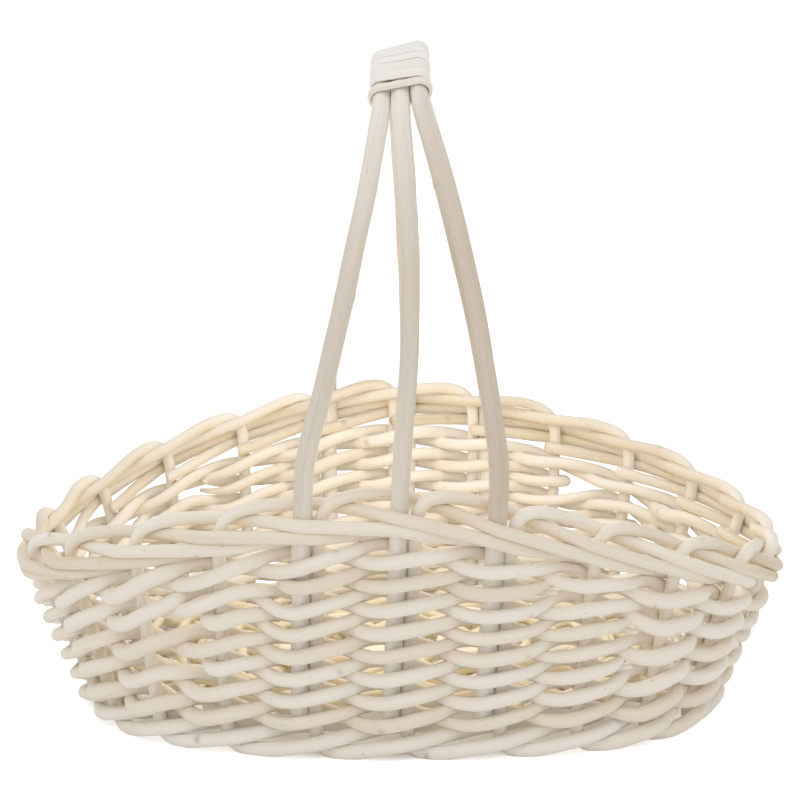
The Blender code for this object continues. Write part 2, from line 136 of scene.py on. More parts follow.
# A value that is larger where a bow stands beside the stake, running evenly from stake to stake
def betweenStations(station, plain, besideBow):
    low = np.floor(station).astype(int)
    first, second = (np.where(pairedStations[s % wall["stakes"]], besideBow, plain) for s in (low, low + 1))
    return first + (second - first) * (station - low)


def linear(hexColour):
    channels = [int(hexColour[i:i + 2], 16) / 255 for i in (1, 3, 5)]
    return tuple(c / 12.92 if c <= 0.04045 else ((c + 0.055) / 1.055) ** 2.4 for c in channels) + (1.0,)


# One add-node function for every material: settings are the node's own, inputs are values or sockets, and
# stops are a colour ramp's places, each with a hex colour or a plain value
def addNode(tree, kind, inputs=None, stops=(), **settings):
    node = tree.nodes.new(kind)
    for name, value in settings.items():
        setattr(node, name, value)
    for name, value in (inputs or {}).items():
        if isinstance(value, bpy.types.NodeSocket):
            tree.links.new(value, node.inputs[name])
        else:
            node.inputs[name].default_value = value
    if stops:
        elements = node.color_ramp.elements
        while len(elements) < len(stops):
            elements.new(0.5)
        for element, (place, colour) in zip(elements, stops):
            element.position = place
            element.color = linear(colour) if isinstance(colour, str) else (colour, colour, colour, 1)
    return node


# Peeled willow: the bark is stripped while the rod is green, which leaves pale smooth wood with a faint long
# grain, small knots where buds were, and tan flecks of inner bark. rodSpace is the rod laid out straight:
# x along it, y and z across it, in metres, so each pattern's scale is 1 / its real size.
def peeledWillow(name, look):
    made = bpy.data.materials.new(name)
    made.use_nodes = True
    tree = made.node_tree
    shader = tree.nodes["Principled BSDF"]
    straight = addNode(tree, "ShaderNodeAttribute", attribute_name="rodSpace").outputs["Vector"]
    # tone is each rod's own shade of the wood; along the stakes and the bows it also holds painted light and
    # painted shade
    tone = addNode(tree, "ShaderNodeAttribute", attribute_name="tone").outputs["Fac"]
    knot = addNode(tree, "ShaderNodeAttribute", attribute_name="knot").outputs["Fac"]
    pattern = {}
    for part in ("grain", "patch", "fleck"):
        along, across = 1 / look[part + "Length"], 1 / look[part + "Width"]
        mapped = addNode(tree, "ShaderNodeMapping", {"Vector": straight, "Scale": (along, across, across)})
        pattern[part] = addNode(tree, "ShaderNodeTexNoise", {
            "Vector": mapped.outputs["Vector"], "Scale": 1.0, "Detail": look[part + "Detail"],
            "Roughness": look[part + "Rough"],
        }).outputs["Fac"]
    shade = addNode(tree, "ShaderNodeMath", {
        0: pattern["patch"], 1: look["patchShare"], 2: tone,
    }, operation="MULTIPLY_ADD")
    shade = addNode(tree, "ShaderNodeMath", {
        0: pattern["grain"], 1: look["grainShare"], 2: shade.outputs[0],
    }, operation="MULTIPLY_ADD")
    wood = addNode(tree, "ShaderNodeValToRGB", {"Fac": shade.outputs[0]}, look["tones"])
    fleckFull = look["fleckFrom"] + look["fleckFade"]
    flecks = addNode(tree, "ShaderNodeValToRGB", {"Fac": pattern["fleck"]}, [
        (look["fleckFrom"], 0.0), (fleckFull, look["fleckDepth"]),
    ])
    colour = addNode(tree, "ShaderNodeMix", {
        "Factor": flecks.outputs["Color"], "A": wood.outputs["Color"], "B": linear(look["fleckColour"]),
    }, data_type="RGBA")
    colour = addNode(tree, "ShaderNodeMix", {
        "Factor": knot, "A": colour.outputs["Result"], "B": linear(look["knotColour"]),
    }, data_type="RGBA")
    tree.links.new(colour.outputs["Result"], shader.inputs["Base Color"])
    smooth, dull = look["roughness"] - look["roughSpread"], look["roughness"] + look["roughSpread"]
    rough = addNode(tree, "ShaderNodeValToRGB", {"Fac": pattern["grain"]}, [
        (look["roughFrom"], smooth), (look["roughTo"], dull),
    ])
    tree.links.new(rough.outputs["Color"], shader.inputs["Roughness"])
    bump = addNode(tree, "ShaderNodeBump", {
        "Height": pattern["grain"], "Strength": look["bump"], "Distance": look["bumpDepth"],
    })
    tree.links.new(bump.outputs["Normal"], shader.inputs["Normal"])
    shader.inputs["IOR"].default_value = look["ior"]
    shader.inputs["Specular IOR Level"].default_value = look["gloss"]
    return made


# Rods of the wall: dried after peeling, they are matt and a creamy white
willowLook = {
    "grainLength": 0.030, "grainWidth": 0.0007, "grainDetail": 3.0, "grainRough": 0.5, "grainShare": 0.22,
    "patchLength": 0.070, "patchWidth": 0.004, "patchDetail": 2.0, "patchRough": 0.5, "patchShare": 0.40,
    "fleckLength": 0.0045, "fleckWidth": 0.0011, "fleckDetail": 2.0, "fleckRough": 0.6,
    "fleckFrom": 0.69, "fleckFade": 0.05, "fleckDepth": 0.42,
    "fleckColour": "#A08A62", "knotColour": "#A88F66",
    "roughness": 0.62, "roughSpread": 0.06, "roughFrom": 0.3, "roughTo": 0.7, "ior": 1.45, "gloss": 0.35,
    "bump": 0.25, "bumpDepth": 0.0003,
    "tones": [(0.15, "#FBF6EE"), (0.50, "#F8EFE0"), (0.80, "#EEE1CC"), (1.0, "#D8C8A8")],
}
# Sticks and weavers of the base: peeled like the rods of the wall, and a little yellower, which is painted
# warm shade of the bowl
stickLookWithBowlShade = willowLook | {
    "tones": [(0.15, "#F8F1E2"), (0.45, "#F4E9D2"), (0.70, "#EEDFC0"), (0.95, "#DCC79C")],
}
# Rods of the handle: thick and straight in the grain, with a soft sheen, and painted shade down their sides
bowLook = willowLook | {
    "grainLength": 0.055, "grainWidth": 0.0011, "patchLength": 0.12, "roughness": 0.55, "gloss": 0.45,
    "tones": [(0.10, "#FCF8F0"), (0.40, "#E8DFD1"), (0.70, "#D8CAB8"), (0.95, "#C8B89F")],
}
# Skein: a rod split and shaved to a flat strip, which shows a whiter and finer grain and shines a little more
skeinLook = willowLook | {
    "grainLength": 0.020, "grainWidth": 0.0005, "grainShare": 0.34, "roughness": 0.5, "gloss": 0.5,
    "tones": [(0.15, "#FEFCF8"), (0.45, "#FAF7F2"), (0.70, "#F1E9DC"), (0.95, "#DCCDB2")],
}
finishes = {
    "peeled_willow": peeledWillow("PeeledWillowRods", willowLook),
    "base_willow": peeledWillow("PeeledWillowSticks", stickLookWithBowlShade),
    "handle_willow": peeledWillow("PeeledWillowHandleRods", bowLook),
    "skein_willow": peeledWillow("SplitWillowSkein", skeinLook),
}
print("materials made:", len(finishes))


# A bell curve of that width
def bell(away, width):
    return np.exp(-0.5 * (away / width) ** 2)


# Points every step along a line of control points, with whatever else their further columns hold
def resampled(points, step):
    points = np.asarray(points, float)
    lengths = lengthsAlong(points[:, :3])
    places = np.linspace(0, lengths[-1], int(round(lengths[-1] / step)) + 1)
    return np.stack([np.interp(places, lengths, column) for column in points.T], 1)


# A running average weighted by a bell curve of that width, so a line of straight pieces bends as a rod does
def relaxed(points, step, width):
    reach = max(1, int(3 * width / step))
    weights = bell(np.arange(-reach, reach + 1) * step, width)
    weights /= weights.sum()
    ahead = np.arange(1, reach + 1)[:, None]
    before = points[0] + (points[0] - points[1]) * ahead[::-1]
    after = points[-1] + (points[-1] - points[-2]) * ahead
    padded = np.concatenate([before, points, after])
    return np.stack([np.convolve(column, weights, "valid") for column in padded.T], 1)


def rodLine(points, step, width):
    return relaxed(resampled(points, step), step, width)


# A sum of sines of random length and phase along the rod, worth about 1 at its largest
def wave(along, rng, shortest, longest, terms=4):
    lengths = rng.uniform(shortest, longest, terms)
    phases = rng.uniform(0, 2 * math.pi, terms)
    sizes = rng.uniform(0.5, 1, terms)
    return (np.sin(2 * math.pi * along[:, None] / lengths + phases) * sizes).sum(1) / sizes.sum()


# Mesh through rings of corners: a quad between neighbouring corners of neighbouring rings, and a face at each
# end
def meshFromRings(name, rings, attributes, closed=False):
    count, sides = rings.shape[:2]
    corner = np.arange(count * sides, dtype=np.int32).reshape(count, sides)
    below = corner if closed else corner[:-1]
    above = np.roll(corner, -1, 0) if closed else corner[1:]
    quads = np.stack([below, np.roll(below, -1, 1), np.roll(above, -1, 1), above], 2).reshape(-1)
    caps = [] if closed else [corner[0, ::-1], corner[-1]]
    loops = np.concatenate([quads, *caps])
    starts = np.concatenate([np.arange(0, len(quads), 4), len(quads) + sides * np.arange(len(caps))])
    mesh = bpy.data.meshes.new(name)
    mesh.vertices.add(count * sides)
    mesh.vertices.foreach_set("co", rings.reshape(-1).astype(np.float32))
    mesh.loops.add(len(loops))
    mesh.loops.foreach_set("vertex_index", loops.astype(np.int32))
    mesh.polygons.add(len(starts))
    mesh.polygons.foreach_set("loop_start", starts.astype(np.int32))
    for label, values in attributes.items():
        kind, field = ("FLOAT_VECTOR", "vector") if values.ndim == 3 else ("FLOAT", "value")
        made = mesh.attributes.new(label, kind, "POINT")
        made.data.foreach_set(field, values.reshape(-1).astype(np.float32))
    mesh.update(calc_edges=True)
    mesh.validate()
    mesh.shade_smooth()
    return mesh


def place(name, mesh, node, finish):
    mesh.materials.append(finishes[finish])
    piece = bpy.data.objects.new(name, mesh)
    bpy.context.scene.collection.objects.link(piece)
    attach(piece, "root")
    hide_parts(node)
    return piece


# What a rod has where its own settings say nothing else. Its radius runs from butt to tip, which are shares
# where its path holds radii. Section scales it along its reference and across that, knots are the least and
# the most between two, and a run of painted shade adds tones at shares of its length.
plainRod = {
    "sides": 14, "sway": 0.0, "uneven": 0.03, "oval": 0.04, "section": (1.0, 1.0), "knots": (0.05, 0.14),
    "tone": 0.2, "vary": 0.16, "paintedShadeRun": ((0, 1), (0, 0)), "onFloor": False,
}
# How willow grows and is cut: lengths in metres, turns in radians, and swellings as shares of the radius
growth = {
    "swayEnds": 0.03, "swayWaves": (0.05, 0.18), "unevenWaves": (0.02, 0.09),
    "ovalTwist": 6.0, "twistStart": 6.0,
    "knotTries": 80, "knotFree": 0.01, "knotReach": 0.012, "swellLength": 0.0028, "swell": 0.035,
    "budLength": 0.0010, "budTurn": 0.42, "budDent": 0.05, "lipAway": 0.0016, "lipTurn": 0.6, "lip": 0.07,
    "knotStain": (0.15, 0.6), "slant": 0.7, "slantReach": 0.006, "endSize": 0.86,
    "toneWaves": (0.15, 0.6), "toneWave": 0.10, "patternStart": 9.0,
}


# Knots at random places. The rod swells all round by a bell curve of the way along it, and on one side a lip
# stands above a dented bud, each a bell curve of the way along times one of the angle round.
def growKnots(shape, along, turn, gaps, rng):
    stain = np.zeros_like(shape)
    places = np.cumsum(rng.uniform(*gaps, growth["knotTries"]))
    for where in places[places < along[-1] - growth["knotFree"]]:
        near = np.abs(along - where) < growth["knotReach"]
        away = along[near, None] - where
        facing = np.angle(np.exp(1j * (turn - rng.uniform(0, 2 * math.pi))))
        swell = bell(away, growth["swellLength"])
        bud = bell(away, growth["budLength"]) * bell(facing, growth["budTurn"])
        lip = bell(away - growth["lipAway"], growth["budLength"]) * bell(facing, growth["lipTurn"])
        shape[near] *= 1 + growth["swell"] * swell + growth["lip"] * lip - growth["budDent"] * bud
        stain[near] = np.maximum(stain[near], rng.uniform(*growth["knotStain"]) * bud)
    return stain


# The surface laid out straight for its pattern: x along the rod, y and z across it
def laidStraight(along, across):
    return np.concatenate([np.broadcast_to(along[:, None, None], across.shape[:2] + (1,)), across], 2)


# A round willow rod: rings of corners at centre + r(side cos t + other sin t), where side is the reference
# direction made square to the rod, and r swells at each knot, falls to the tip and is never quite round
def willowRod(name, node, path, ownSize, reference, finish, seed, closed=False):
    size = plainRod | ownSize
    rng = np.random.default_rng(seed)
    centre = path[:, :3]
    along = lengthsAlong(centre)
    length = along[-1]
    tangent = unit(np.roll(centre, -1, 0) - np.roll(centre, 1, 0) if closed else np.gradient(centre, axis=0))
    reference = np.broadcast_to(np.asarray(reference, float), centre.shape)
    side = unit(reference - tangent * (reference * tangent).sum(1, keepdims=True))
    other = np.cross(tangent, side)
    if size["sway"]:
        ends = np.clip(np.minimum(along, length - along) / growth["swayEnds"], 0, 1)
        for direction in (side, other):
            bend = size["sway"] * ends * wave(along, rng, *growth["swayWaves"])
            centre = centre + direction * bend[:, None]
    turn = 2 * math.pi * np.arange(size["sides"]) / size["sides"]
    radius = size["butt"] + (size["tip"] - size["butt"]) * along / length
    if path.shape[1] > 3:
        radius = radius * path[:, 3]
    radius = radius * (1 + size["uneven"] * wave(along, rng, *growth["unevenWaves"]))
    twist = growth["ovalTwist"] * along[:, None] + rng.uniform(0, growth["twistStart"])
    shape = radius[:, None] * (1 + size["oval"] * np.cos(2 * (turn - twist)))
    stain = growKnots(shape, along, turn, size["knots"], rng)
    shear = np.zeros(len(along))
    if not closed:
        # The ends are cut aslant with a knife, and their edge is a little rounded
        shape[[0, -1]] *= growth["endSize"]
        for away in (along, length - along):
            slant = rng.uniform(-growth["slant"], growth["slant"])
            shear += slant * np.clip(1 - away / growth["slantReach"], 0, 1)
    wide, high = size["section"]
    across = np.stack([shape * np.cos(turn) * wide, shape * np.sin(turn) * high], 2)
    rings = centre[:, None] + side[:, None] * across[:, :, :1] + other[:, None] * across[:, :, 1:]
    rings = rings + tangent[:, None] * (shear[:, None] * across[:, :, 0])[:, :, None]
    if size["onFloor"]:
        rings[:, :, 2] = np.maximum(rings[:, :, 2], 0)
    laid = laidStraight(along + rng.uniform(0, growth["patternStart"]), across)
    laid[:, :, 1:] += rng.uniform(0, 1, 2)
    tone = size["tone"] + rng.uniform(-size["vary"], size["vary"])
    tone = tone + growth["toneWave"] * wave(along, rng, *growth["toneWaves"])
    # Painted shade along the rod, at the shares that its settings give
    tone = tone + np.interp(along / length, *size["paintedShadeRun"])
    mesh = meshFromRings(name, rings, {
        "rodSpace": laid, "tone": np.repeat(tone[:, None], size["sides"], 1), "knot": stain,
    }, closed)
    return place(name, mesh, node, finish)


# The radii that the paths of rods leave room for, and the step between a rod's rings
rods = {"stake": 0.0032, "bow": 0.0045, "weaverAtEnds": 0.0026, "weaverAtSides": 0.0032, "step": 0.0011}
stakeAside = rods["stake"] + wall["gap"] / 2
bowAside = rods["bow"] + wall["gap"] / 2

# The stakes. Each point of a border's run says how many stakes further on it lies, how far outside the wall's
# middle (1) or inside it (-1), and its share of the border's height, up from the ground or down from the rim.
stakes = {
    "footRadius": 0.0036, "borderRadius": 0.0032, "footPress": 0.0009, "footRise": 0.0108, "upright": 0.010,
    "borderDrop": 0.0192, "borderSpread": 0.13, "bend": 0.0042,
}
footRun = np.array([
    (0.07, 0.05, 0.16), (0.22, 0.25, 0.0), (0.42, 0.5, 0.0), (0.88, 1.0, 0.42), (1.12, 1.0, 0.61),
    (1.5, 0.0, 0.82), (1.88, -1.0, 0.96), (2.12, -1.1, 0.99), (2.5, -2.0, 1.0),
])
borderRun = np.array([
    (0.07, 0.0, 0.12), (0.25, -0.15, 0.0), (0.5, -0.55, 0.02), (0.85, -1.0, 0.16), (1.12, -1.0, 0.27),
    (1.5, 0.0, 0.335), (1.88, 1.0, 0.42), (2.12, 1.0, 0.49), (2.88, 1.0, 0.70), (3.12, 1.0, 0.775),
    (3.5, 0.0, 0.88), (3.88, -1.0, 0.975), (4.1, -1.0, 1.0),
])


# The border is deeper where the rim is higher
def borderDepth(station):
    return stakes["borderDrop"] * (1 + stakes["borderSpread"] * rimRise(station))


# How far a rod of a border that passes a stake lies from the wall's middle
def passing(station):
    clear = rods["stake"] + wall["gap"]
    return betweenStations(station, rods["stake"] + clear, rods["bow"] + clear)


# A stake: along the ground and up into the wall, then over into the border, behind one stake, in front of
# two. Beside a bow it stands aside, and is back in the middle half way to the next stake. The last column of
# its path is its radius.
def stakePath(station):
    ground = rods["stake"] - stakes["footPress"]
    aside = stakeAside if pairedStations[station] else 0.0
    gaps, side, share = footRun.T
    at, height = station + gaps, ground + share * stakes["footRise"]
    foot = wallPoint(at, height, side * passing(at), aside * np.maximum(0, 1 - 2 * gaps))
    rise = wallMiddle(at, 2 * height) - wallMiddle(at, height)
    foot = foot + rise * ((height - foot[:, 2]) / rise[:, 2])[:, None]
    gaps, side, share = borderRun.T
    at = station + gaps
    height = rimHeight(at) - rods["stake"] - share * borderDepth(at)
    border = wallPoint(at, height, side * passing(at), aside * np.maximum(0, 1 - 2 * gaps))
    low = wallPoint(station, ground + stakes["upright"], 0, aside)
    high = wallPoint(station, rimHeight(station) - rods["stake"] - stakes["upright"], 0, aside)
    radii = [stakes["footRadius"]] * len(foot) + [rods["stake"]] * 2 + [stakes["borderRadius"]] * len(border)
    return np.column_stack([np.concatenate([foot[::-1], [low, high], border]), radii])


# The stakes are paler than the rows. That is painted light, which lifts the shade where they show between the
# rows. Their border ends are darker, which is painted shade on the rim.
stakeSize = {
    "butt": 1.04, "tip": 0.98, "sway": 0.0005, "uneven": 0.035, "sides": 16, "onFloor": True,
    "tone": 0.03, "paintedShadeRun": ((0.50, 0.58), (0.0, 0.36)), "facing": (1.0, 1.6, 0.0), "seed": 100,
}
for station in range(wall["stakes"]):
    line = rodLine(stakePath(station), rods["step"], stakes["bend"])
    outward = unit(line[:, :3] * np.array(stakeSize["facing"]))
    name, node = f"Stake{station + 1:02d}", f"stake_{station + 1:02d}"
    willowRod(name, node, line, stakeSize, outward, "peeled_willow", stakeSize["seed"] + station)
print("stakes made:", wall["stakes"])

# Rows of the wall, from the lowest: how many stakes each reaches from the middle of the front and of the
# back, or all round. Fades, tails and thinning are in stakes, and a fold's ends in degrees round its stake.
rowReaches = (None, None, (2, 3), None, (2, 3), None, (1, 2), None)
rows = {
    "starts": (8, 16, 5, 18, 7), "first": 0.0215, "toBorder": 0.0078, "outsideBow": 0.0004, "stakeEase": 1.06,
    "foldFrom": 90, "foldTo": 270, "foldPoints": 9, "foldEase": 1.06, "afterFold": 0.12,
    "foldFadeStart": 0.04, "endFadeStart": 0.2, "fade": 0.76,
    "shortTail": 0.6, "thinOver": 0.34, "thinTo": 0.35,
    "swingFlat": 1.2, "liftSharp": 1.0, "closeness": 1.24, "widest": 0.0040, "squeeze": 1.12, "perStake": 48,
    "wideBend": 0.0028, "foldBend": 0.0016, "foldBendFor": 0.012, "foldBendFade": 0.012,
}


# 0 to 1 and level at both ends
def smoothStep(share):
    share = np.clip(share, 0, 1)
    return share * share * (3 - 2 * share)


# How much of a row's height is taken up: 1 along the row, falling smoothly to 0 past the ends of a short one,
# and sooner past its fold than past its loose ends
def rowWeight(reach, station):
    if reach is None:
        return np.ones_like(station)
    fromFront = (station + back) % wall["stakes"] - back
    nearFront = np.abs(fromFront) < back / 2
    fromMiddle = np.where(nearFront, fromFront, station % wall["stakes"] - back)
    beyond = np.abs(fromMiddle) - np.where(nearFront, reach[0], reach[1])
    fadeStart = np.where(fromMiddle < 0, rows["foldFadeStart"], rows["endFadeStart"])
    return 1 - smoothStep((beyond - fadeStart) / rows["fade"])


def rowPitch(station):
    top = rimHeight(station) - rods["stake"] - borderDepth(station) - rows["toBorder"]
    return (top - rows["first"]) / sum(rowWeight(reach, station) for reach in rowReaches[:-1])


def rowHeight(row, station):
    below = sum((rowWeight(reach, station) for reach in rowReaches[:row]), np.zeros_like(station))
    return rows["first"] + rowPitch(station) * below


# Thicker rods lie where the rows are taller, towards the middle of the long sides
def weaverRadius(station):
    return rods["weaverAtEnds"] + (rods["weaverAtSides"] - rods["weaverAtEnds"]) * rimRise(station)


# A row's fold goes round its first stake, or round the bow beside it: where its middle lies along the row,
# and how far out it goes
def foldCircle(station):
    besideBow = pairedStations[station % wall["stakes"]]
    centre, radius = (-bowAside, rods["bow"]) if besideBow else (0.0, rods["stake"])
    return centre, (radius + wall["gap"] + float(weaverRadius(station))) * rows["foldEase"]


# A rod that has gone all round stops just short of the fold where it started
def tailStation(row, first, last):
    centre, around = foldCircle(first)
    end = np.array([last + 1.0])
    height = rowHeight(row, end)
    away = around - centre + 2 * weaverRadius(end) + wall["gap"]
    halfGap = np.linalg.norm(wallMiddle(end, height) - wallMiddle(end - 0.5, height))
    return float(last + 1 - away[0] / halfGap / 2)


# A rod folded round its first stake. Its halves pass each stake on opposite sides and cross between stakes.
# With o from -1/2 to 1/2 past the nearest stake, it lies tanh(k cos(pi o)) / tanh(k) of its reach to its
# side, rises by tanh(q sin(pi o)) / tanh(q) of a quarter of the rows' pitch, and is squeezed by sin squared
# where rods cross. The loose ends of a short row run on past its last stake and thin evenly.
def rowPath(row, first, last, allRound):
    centre, around = foldCircle(first)
    stop = tailStation(row, first, last) if allRound else last + rows["shortTail"]
    station = np.linspace(first + rows["afterFold"], stop, int((stop - first) * rows["perStake"]))
    nearest = np.floor(station + 0.5)
    offset = station - nearest
    besideBow = pairedStations[nearest.astype(int) % wall["stakes"]]
    inner = np.where(besideBow, rods["bow"], rods["stake"] * rows["stakeEase"])
    quarter = rowPitch(station) / 4
    full = np.clip(rows["closeness"] * quarter, weaverRadius(station), rows["widest"])
    squeezed = np.minimum(full, rows["squeeze"] * quarter)
    radius = full + (squeezed - full) * np.sin(math.pi * offset) ** 2
    if not allRound:
        radius = radius * np.interp(stop - station, (0, rows["thinOver"]), (rows["thinTo"], 1))
    swing = np.tanh(rows["swingFlat"] * np.cos(math.pi * offset)) / math.tanh(rows["swingFlat"])
    lift = np.tanh(rows["liftSharp"] * np.sin(math.pi * offset)) / math.tanh(rows["liftSharp"])
    halves = []
    for half in (1, -1):
        side = half * np.where((nearest - first) % 2 == 0, 1.0, -1.0)
        heights = rowHeight(row, station) + side * lift * quarter
        reach = inner + full + np.where(side > 0, rows["outsideBow"], 0)
        halves.append(np.column_stack([wallPoint(station, heights, side * swing * reach), radius]))
    turn = np.radians(np.linspace(rows["foldFrom"], rows["foldTo"], rows["foldPoints"]))
    at = np.full(len(turn), float(first))
    fold = wallPoint(at, rowHeight(row, at), around * np.sin(turn), centre + around * np.cos(turn))
    path = np.concatenate([halves[0][::-1], np.column_stack([fold, np.full(len(turn), full[0])]), halves[1]])
    return path, len(station) + len(turn) // 2


# The rod bends widely along the wall and tightly round its fold, so the two are blended by the way from it
def weaverLine(path, foldAt):
    fine = resampled(path, rods["step"])
    wide, tight = (relaxed(fine, rods["step"], rows[bend]) for bend in ("wideBend", "foldBend"))
    away = np.linalg.norm(fine[:, :3] - path[foldAt, :3], axis=1)
    return tight + (wide - tight) * smoothStep((away - rows["foldBendFor"]) / rows["foldBendFade"])[:, None]


rowSize = {
    "butt": 1.04, "tip": 0.96, "sway": 0.00025, "uneven": 0.035, "tone": 0.20, "seed": 300, "rowSeeds": 7,
}
starts = iter(rows["starts"])
for row, reach in enumerate(rowReaches):
    if reach is None:
        begin = next(starts)
        spans = [(f"row_{row + 1}", begin, begin + wall["stakes"] - 1)]
    else:
        spans = [(f"row_{row + 1}_front", front - reach[0], front + reach[0]),
                 (f"row_{row + 1}_back", back - reach[1], back + reach[1])]
    for node, begin, end in spans:
        line = weaverLine(*rowPath(row, begin, end, reach is None))
        name = "Row" + node.removeprefix("row_").replace("_", "").title()
        seed = rowSize["seed"] + rowSize["rowSeeds"] * row + begin
        willowRod(name, node, line, rowSize, up, "peeled_willow", seed)
print("rows made:", len(rowReaches))

# The base: long sticks through split cross sticks, woven with two chasing rods
base = {
    "stick": 0.003, "weaver": 0.0025, "crossCount": 5, "crossPitch": 0.022, "crossFan": 1.0,
    "longCount": 3, "longFan": 0.048, "longOpening": 0.014, "splitWall": 0.0026, "splitTaper": 0.007,
    "rounds": 10, "margin": 0.009, "endGap": 0.0006, "crossBend": 0.004, "longBend": 0.003,
    "weaverBend": 0.0022, "weaverStep": 0.0013,
}
baseHeight = 2 * rods["stake"] - stakes["footPress"] + stakes["footRise"] + wall["gap"] + base["stick"]
slotHalfWidth = base["longCount"] * (2 * base["stick"] + wall["gap"]) / 2
slotHalfHeight = base["stick"] + wall["gap"]
stickEnd = rods["bow"] + wall["gap"] + 2 * rods["weaverAtSides"] + base["endGap"]
baseEdge = stickEnd + base["margin"]


# The oval that far inside the wall's middle surface, at the height of the base
def baseOval(angle, inside):
    at = np.array([angle, angle + wall["tangentStep"]])
    foot = footOval(at)
    middle = foot + (rimOval(at) - foot) * (baseHeight / rimHeightAt(at))[:, None]
    return middle[0] + np.cross(unit(middle[1] - middle[0]), -up) * inside


# For each stick end: where it starts, where the weaving starts and ends on it, and where it ends. The second
# half of them is the first, turned half round.
def spokeEnds():
    firstY = slotHalfWidth + base["splitTaper"] + base["weaver"]
    lastX = base["crossPitch"] * (base["crossCount"] - 1) / 2
    found = []
    for i in range(base["crossCount"]):
        x = base["crossPitch"] * i - lastX
        angle = -math.acos(x * (1 + base["crossFan"]) / (wall["footHalf"][0] - baseEdge))
        found.append(((x, -slotHalfWidth, 0), (x, -firstY, 0), angle))
    for i in range(base["longCount"]):
        offset = i - (base["longCount"] - 1) / 2
        angle = math.asin(offset * base["longFan"] / (wall["footHalf"][1] - baseEdge))
        inner = (lastX + 2 * base["stick"], offset * (2 * base["stick"] + wall["gap"]), 0)
        opened = (lastX + base["stick"] + base["longOpening"], offset * base["longOpening"], 0)
        found.append((inner, opened, angle))
    half = np.array([(a, b, baseOval(t, baseEdge), baseOval(t, stickEnd)) for a, b, t in found])
    return np.concatenate([half, -half]) + up * baseHeight


# The split's outline is a box with pointed ends, drawn along X through all the cross sticks
def makeSlotCutter():
    y, z = slotHalfWidth, slotHalfHeight
    outline = [(-y - base["splitTaper"], 0), (-y, -z), (y, -z), (y + base["splitTaper"], 0), (y, z), (-y, z)]
    reach = base["crossPitch"] * base["crossCount"] / 2
    rings = np.array([[(x, a, baseHeight + b) for a, b in outline] for x in (-reach, reach)])
    cutter = bpy.data.objects.new("SlotCutter", meshFromRings("SlotCutter", rings, {}))
    bpy.context.scene.collection.objects.link(cutter)
    cutter.hide_render = True
    cutter.display_type = "WIRE"
    return cutter


spokes = spokeEnds()
halfCount = len(spokes) // 2
slotCutter = makeSlotCutter()
crossSize = {"sides": 16, "tone": 0.2, "vary": 0.1, "seed": 500}


# A cross stick swells where it is split: its height is raised by a share that is 1 beside the split and falls
# evenly to 0 over the taper
def splitStick(name, node, path, seed):
    line = rodLine(path, rods["step"], base["crossBend"])
    rng = np.random.default_rng(seed)
    along = lengthsAlong(line)
    fromMiddle = np.abs(along - along[-1] / 2)
    share = np.clip(1 - (fromMiddle - slotHalfWidth) / base["splitTaper"], 0, 1)
    swell = 1 + ((slotHalfHeight + base["splitWall"]) / base["stick"] - 1) * share
    side = unit(np.cross(unit(np.gradient(line, axis=0)), up))
    turn = 2 * math.pi * np.arange(crossSize["sides"]) / crossSize["sides"]
    around = base["stick"] * np.stack([np.cos(turn), np.sin(turn)], 1)
    rings = line[:, None] + side[:, None] * around[None, :, :1]
    rings = rings + up * (around[None, :, 1:] * swell[:, None, None])
    laid = laidStraight(along + rng.uniform(0, growth["patternStart"]), np.repeat(around[None], len(line), 0))
    tone = np.full(rings.shape[:2], crossSize["tone"] + rng.uniform(-crossSize["vary"], crossSize["vary"]))
    mesh = meshFromRings(name, rings[:, ::-1], {"rodSpace": laid[:, ::-1], "tone": tone, "knot": 0 * tone})
    piece = place(name, mesh, node, "base_willow")
    cut = piece.modifiers.new("Split", "BOOLEAN")
    cut.operation = "DIFFERENCE"
    cut.object = slotCutter


longSize = {"butt": 0.00305, "tip": 0.00295, "tone": 0.2, "uneven": 0.02, "sides": 16, "seed": 520}
for i in range(base["crossCount"]):
    near, far = spokes[i], spokes[halfCount + base["crossCount"] - 1 - i]
    path = np.array([near[3], near[1], near[0], far[0], far[1], far[3]])
    splitStick(f"CrossStick{i + 1}", f"cross_stick_{i + 1}", path, crossSize["seed"] + i)
for i in range(base["longCount"]):
    right = spokes[base["crossCount"] + i]
    left = spokes[halfCount + base["crossCount"] + base["longCount"] - 1 - i]
    path = np.array([left[3], left[1], left[0], right[0], right[1], right[3]])
    line = rodLine(path, rods["step"], base["longBend"])
    name, node = f"LongStick{i + 1}", f"long_stick_{i + 1}"
    willowRod(name, node, line, longSize, up, "base_willow", longSize["seed"] + i)


# A spiral over and under the sticks, two points to a stick, in step with the other rod half a turn on
def baseWeaverPath(first):
    count = len(spokes)
    step = np.arange(count * (base["rounds"] - 2) // 2 + count)
    ring = first + 2 * step / count
    step, ring = step[ring <= base["rounds"]], ring[ring <= base["rounds"]]
    share = (ring / base["rounds"])[:, None]
    spot = lambda s: spokes[s % count, 1] * (1 - share) + spokes[s % count, 2] * share
    here = spot(step)
    direction = unit(spot(step + 1) - spot(step - 1))
    lift = np.where((step + first) % 2 == 1, 1.0, -1.0) * (base["stick"] + wall["gap"] + base["weaver"])
    points = np.stack([here - direction * base["stick"], here + direction * base["stick"]], 1)
    points[:, :, 2] += lift[:, None]
    return points.reshape(-1, 3)


baseRodSize = {"butt": 0.00265, "tip": 0.0024, "tone": 0.24, "sides": 12, "knots": (0.06, 0.13), "seed": 540}
for i in (0, 1):
    line = rodLine(baseWeaverPath(i), base["weaverStep"], base["weaverBend"])
    name, node = f"BaseWeaver{i + 1}", f"base_weaver_{i + 1}"
    willowRod(name, node, line, baseRodSize, up, "base_willow", baseRodSize["seed"] + i)
print("base made")

